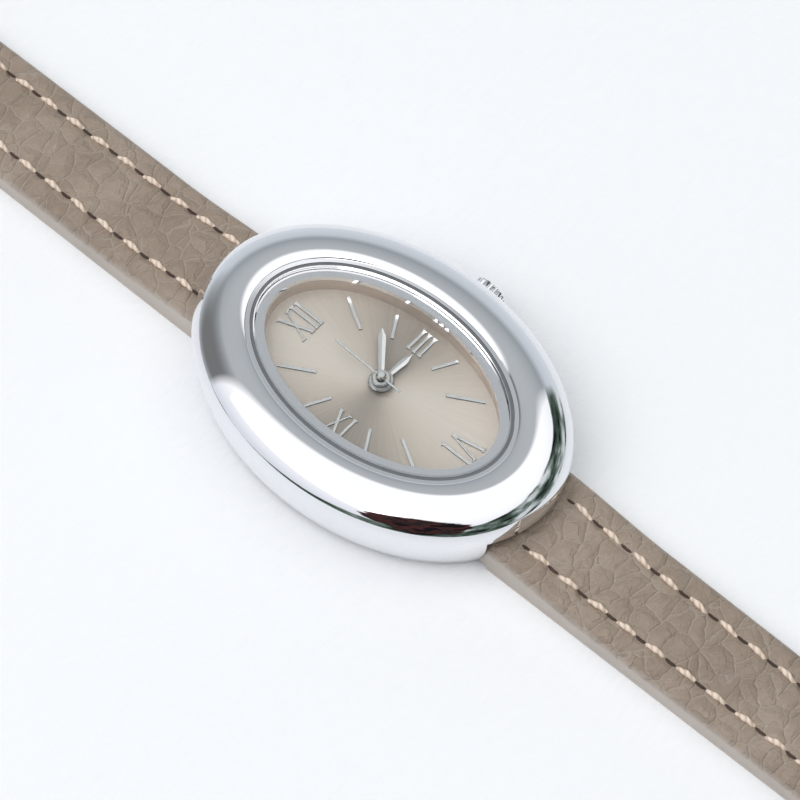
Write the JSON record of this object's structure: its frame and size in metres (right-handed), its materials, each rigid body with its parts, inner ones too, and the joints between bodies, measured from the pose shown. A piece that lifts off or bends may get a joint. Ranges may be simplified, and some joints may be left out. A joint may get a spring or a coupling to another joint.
{
  "type": "oval wristwatch",
  "caption": "Slim oval wristwatch with a domed polished case, sunray dial with batons and Roman numerals, leather strap with pin buckle, and a crown that pulls out and turns.",
  "frame": {"origin": "on the table plane at the middle of the case back, under the hands' axis", "axes": "+X towards 3 o'clock and the crown, +Y towards 12 o'clock and the buckle, +Z out through the dial"},
  "size_m": [0.0247, 0.2043, 0.0071],
  "materials": {
    "polished_steel": "mirror polished",
    "satin_steel": "fine brushed",
    "crystal": "clear polished mineral glass",
    "black_rubber": "smooth",
    "champagne_dial": "sunray brushed under clear lacquer",
    "polished_markers": "mirror polished",
    "brass_wheels": "satin",
    "brass_plate": "satin",
    "nickel_bridge": "satin",
    "white_plastic": "moulded",
    "green_board": "lacquered",
    "copper_coil": "enamelled wire",
    "dark_magnet": "sintered",
    "taupe_leather": "fine pebbled grain",
    "lining_leather": "smooth split"
  },
  "bodies": {
    "watch_head": {"case": "polished_steel", "case_back": "satin_steel", "case_back_gasket": "black_rubber", "crystal": "crystal", "crystal_gasket": "black_rubber", "dial_ring": "polished_steel", "dial": "champagne_dial", "baton_markers": "polished_markers", "numeral_12": "polished_markers", "numeral_3": "polished_markers", "numeral_6": "polished_markers", "numeral_9": "polished_markers", "movement_holder": "white_plastic", "main_plate": "brass_plate", "train_bridge": "nickel_bridge", "circuit_board": "green_board", "quartz_resonator": "satin_steel", "coil": "copper_coil", "coil_core": "dark_magnet", "stator": "nickel_bridge", "crown_tube": "satin_steel", "battery": "satin_steel", "battery_clip": "satin_steel", "spring_bar_12": "satin_steel", "spring_bar_6": "satin_steel"},
    "seconds": {"seconds_wheel": "brass_wheels", "second_hand": "polished_markers"},
    "minutes": {"centre_wheel": "brass_wheels", "minute_hand": "polished_markers"},
    "hours": {"hour_wheel": "brass_wheels", "hour_hand": "polished_markers"},
    "third": {"third_wheel": "brass_wheels"},
    "fifth": {"fifth_wheel": "brass_wheels"},
    "motor_rotor": {"rotor": "dark_magnet"},
    "motion_wheel": {"minute_wheel": "brass_wheels"},
    "hand_setting": {"setting_wheel": "brass_wheels"},
    "stem_seal": {"crown_seal": "black_rubber"},
    "winding_stem": {"crown": "polished_steel", "stem": "satin_steel", "setting_pinion": "satin_steel"},
    "lever": {"setting_lever": "satin_steel"},
    "upper_strap": {"strap_12_upper": "taupe_leather", "strap_12_lining": "lining_leather", "fixed_keeper": "taupe_leather"},
    "lower_strap": {"strap_6_upper": "taupe_leather", "strap_6_lining": "lining_leather"},
    "loose_keeper": {"free_keeper": "taupe_leather"},
    "buckle": {"buckle_frame": "polished_steel", "buckle_bar": "satin_steel"},
    "tongue": {"buckle_tongue": "polished_steel"}
  },
  "joints": [
    {"name": "seconds_turn", "type": "hinge", "parent": "watch_head", "child": "seconds", "pos_m": [0, 0, 0.0023], "axis": [0, 0, -1], "continuous": true},
    {"name": "minutes_turn", "type": "hinge", "parent": "watch_head", "child": "minutes", "pos_m": [0, 0, 0.00305], "axis": [0, 0, -1], "continuous": true},
    {"name": "hours_turn", "type": "hinge", "parent": "watch_head", "child": "hours", "pos_m": [0, 0, 0.00382], "axis": [0, 0, -1], "continuous": true},
    {"name": "third_turn", "type": "hinge", "parent": "watch_head", "child": "third", "pos_m": [-0.00229, 0.00133, 0.0027], "axis": [0, 0, -1], "continuous": true},
    {"name": "fifth_turn", "type": "hinge", "parent": "watch_head", "child": "fifth", "pos_m": [0.00046, 0.00261, 0.00185], "axis": [0, 0, -1], "continuous": true},
    {"name": "rotor_turn", "type": "hinge", "parent": "watch_head", "child": "motor_rotor", "pos_m": [0.00095, 0.00445, 0.0022], "axis": [0, 0, -1], "continuous": true},
    {"name": "motion_wheel_turn", "type": "hinge", "parent": "watch_head", "child": "motion_wheel", "pos_m": [0.00204, -0.00127, 0.00362], "axis": [0, 0, -1], "continuous": true},
    {"name": "setting_wheel_turn", "type": "hinge", "parent": "watch_head", "child": "hand_setting", "pos_m": [0.00474, -0.00127, 0.00362], "axis": [0, 0, -1], "continuous": true},
    {"name": "crown_pull", "type": "slide", "parent": "watch_head", "child": "stem_seal", "axis": [1, 0, 0], "range_m": [0, 0.0009]},
    {"name": "crown_turn", "type": "hinge", "parent": "stem_seal", "child": "winding_stem", "pos_m": [0.0117, 0, 0.0025], "axis": [1, 0, 0], "continuous": true},
    {"name": "setting_lever_turn", "type": "hinge", "parent": "watch_head", "child": "lever", "pos_m": [0.0058, -0.00223, 0.0025], "axis": [0, 0, -1], "range_deg": [0, 28.2]},
    {"name": "upper_strap_swing", "type": "hinge", "parent": "watch_head", "child": "upper_strap", "pos_m": [0, 0.0137, 0.0019], "axis": [1, 0, 0], "range_deg": [-60, 12]},
    {"name": "lower_strap_swing", "type": "hinge", "parent": "watch_head", "child": "lower_strap", "pos_m": [0, -0.0137, 0.0019], "axis": [-1, 0, 0], "range_deg": [-60, 12]},
    {"name": "keeper_slide", "type": "slide", "parent": "upper_strap", "child": "loose_keeper", "axis": [0, 1, 0], "range_m": [0, 0.005]},
    {"name": "buckle_swing", "type": "hinge", "parent": "upper_strap", "child": "buckle", "pos_m": [0, 0.0817, 0.0021], "axis": [1, 0, 0], "range_deg": [-45, 45]},
    {"name": "tongue_swing", "type": "hinge", "parent": "buckle", "child": "tongue", "pos_m": [0, 0.0817, 0.0021], "axis": [1, 0, 0], "range_deg": [0, 75]}
  ],
  "couplings": [
    {"joint": "minutes_turn", "follows": "seconds_turn", "ratio": 0.016667},
    {"joint": "hours_turn", "follows": "seconds_turn", "ratio": 0.0013889},
    {"joint": "third_turn", "follows": "seconds_turn", "ratio": -0.13333},
    {"joint": "fifth_turn", "follows": "seconds_turn", "ratio": -6},
    {"joint": "rotor_turn", "follows": "seconds_turn", "ratio": 30},
    {"joint": "motion_wheel_turn", "follows": "seconds_turn", "ratio": -0.0055556},
    {"joint": "setting_wheel_turn", "follows": "seconds_turn", "ratio": 0.011111},
    {"joint": "setting_lever_turn", "follows": "crown_pull", "rad_per_m": 546.02}
  ]
}
